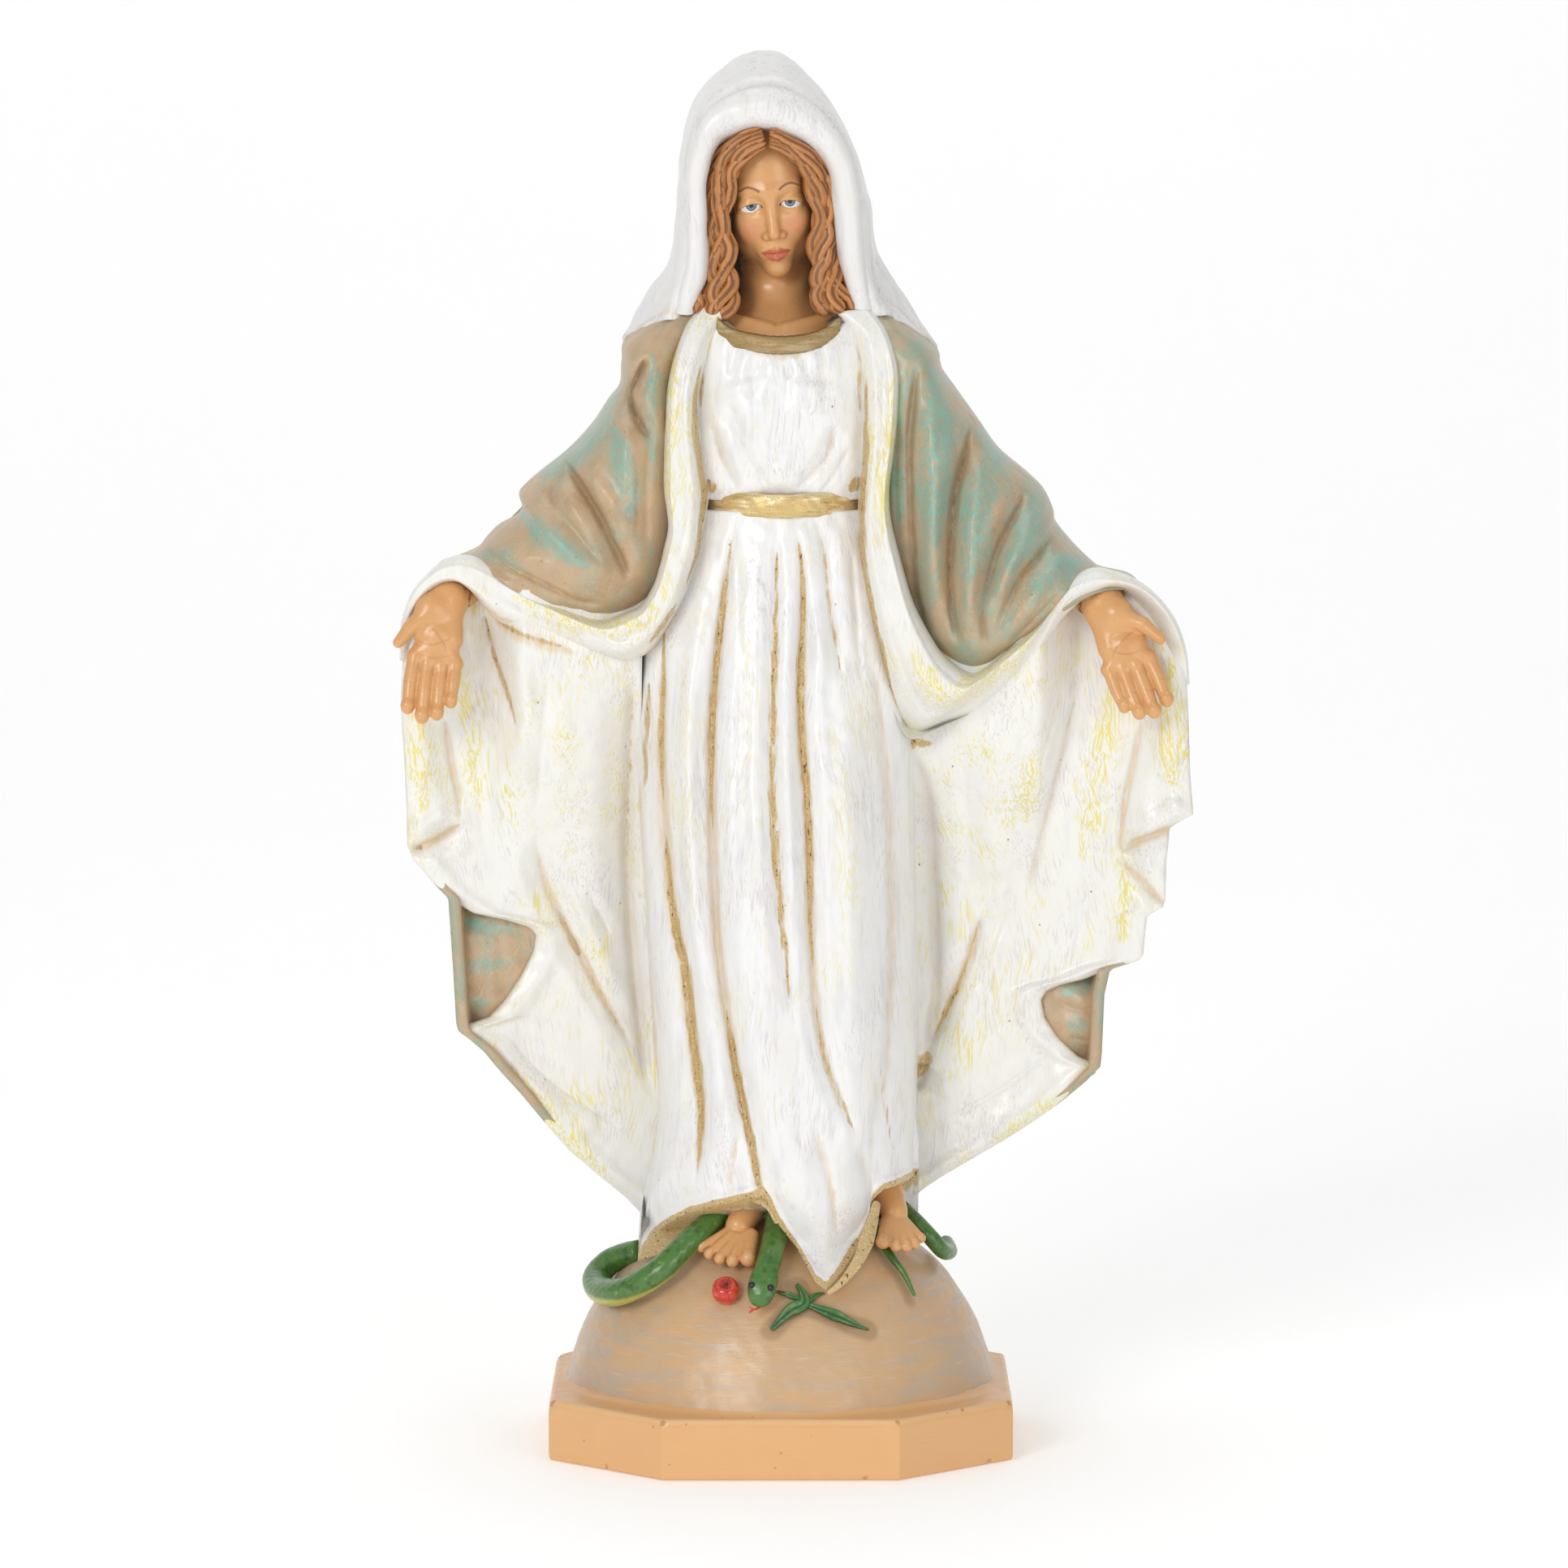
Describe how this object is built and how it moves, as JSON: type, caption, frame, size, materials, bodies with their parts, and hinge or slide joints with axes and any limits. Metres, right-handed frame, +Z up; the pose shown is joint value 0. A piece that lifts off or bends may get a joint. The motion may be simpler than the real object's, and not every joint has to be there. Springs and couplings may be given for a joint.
{
  "type": "madonna statue",
  "caption": "Painted devotional statue of a veiled standing woman with open hands, on a globe with a serpent and an eight-sided plinth.",
  "frame": {"origin": "middle of the plinth's flat underside, where the statue stands", "axes": "+Z up along the figure, -Y the way the figure faces, +X to the viewer's right when looking at the front"},
  "size_m": [0.2271, 0.126, 0.4],
  "materials": {
    "plinth_tan": "bare peach-tan casting with a soft sheen",
    "plate_tan": "plain matt closing plate",
    "globe_beige": "brushed beige-tan paint with faint blue-grey smears",
    "apple_red": "glossy red paint",
    "leaf_green": "green paint with yellow rubbed edges",
    "snake_green": "satin green paint with yellow-green rubbed parts",
    "skin": "warm tan skin colour with a soft sheen, painted eyes and lips",
    "hair": "red-brown hair colour with dark antiquing in the strands",
    "gown_white": "pearly white paint with grey brush streaks and gold in the fold valleys",
    "lining_white": "white paint with lemon-yellow dry brushing and tan fold valleys",
    "gold": "hand-brushed gold paint over the casting",
    "mantle_teal": "turquoise-teal patches over beige-tan, antiqued brown in the folds",
    "veil_white": "white paint with grey brush streaks",
    "cuff_brown": "orange-brown stain round the wrist"
  },
  "bodies": {
    "root": {"plinth": "plinth_tan", "base_plate": "plate_tan", "globe": "globe_beige", "apple": "apple_red", "sprig": "leaf_green", "snake_head": "snake_green", "snake_coil": "snake_green", "snake_tail": "snake_green", "snake_bend": "snake_green", "foot_left": "skin", "foot_right": "skin", "gown_skirt": "gown_white", "gown_bodice": "gown_white", "belt": "gold", "collar": "gold", "lapel_left": "lining_white", "lapel_right": "lining_white", "lining_left": "lining_white", "lining_right": "lining_white", "mantle_back": "mantle_teal", "sleeve_left": "mantle_teal", "sleeve_right": "mantle_teal", "veil": "veil_white", "head": "skin", "hair_left": "hair", "hair_right": "hair", "hand_left": "skin", "hand_right": "skin", "cuff_left": "cuff_brown", "cuff_right": "cuff_brown"}
  },
  "joints": []
}
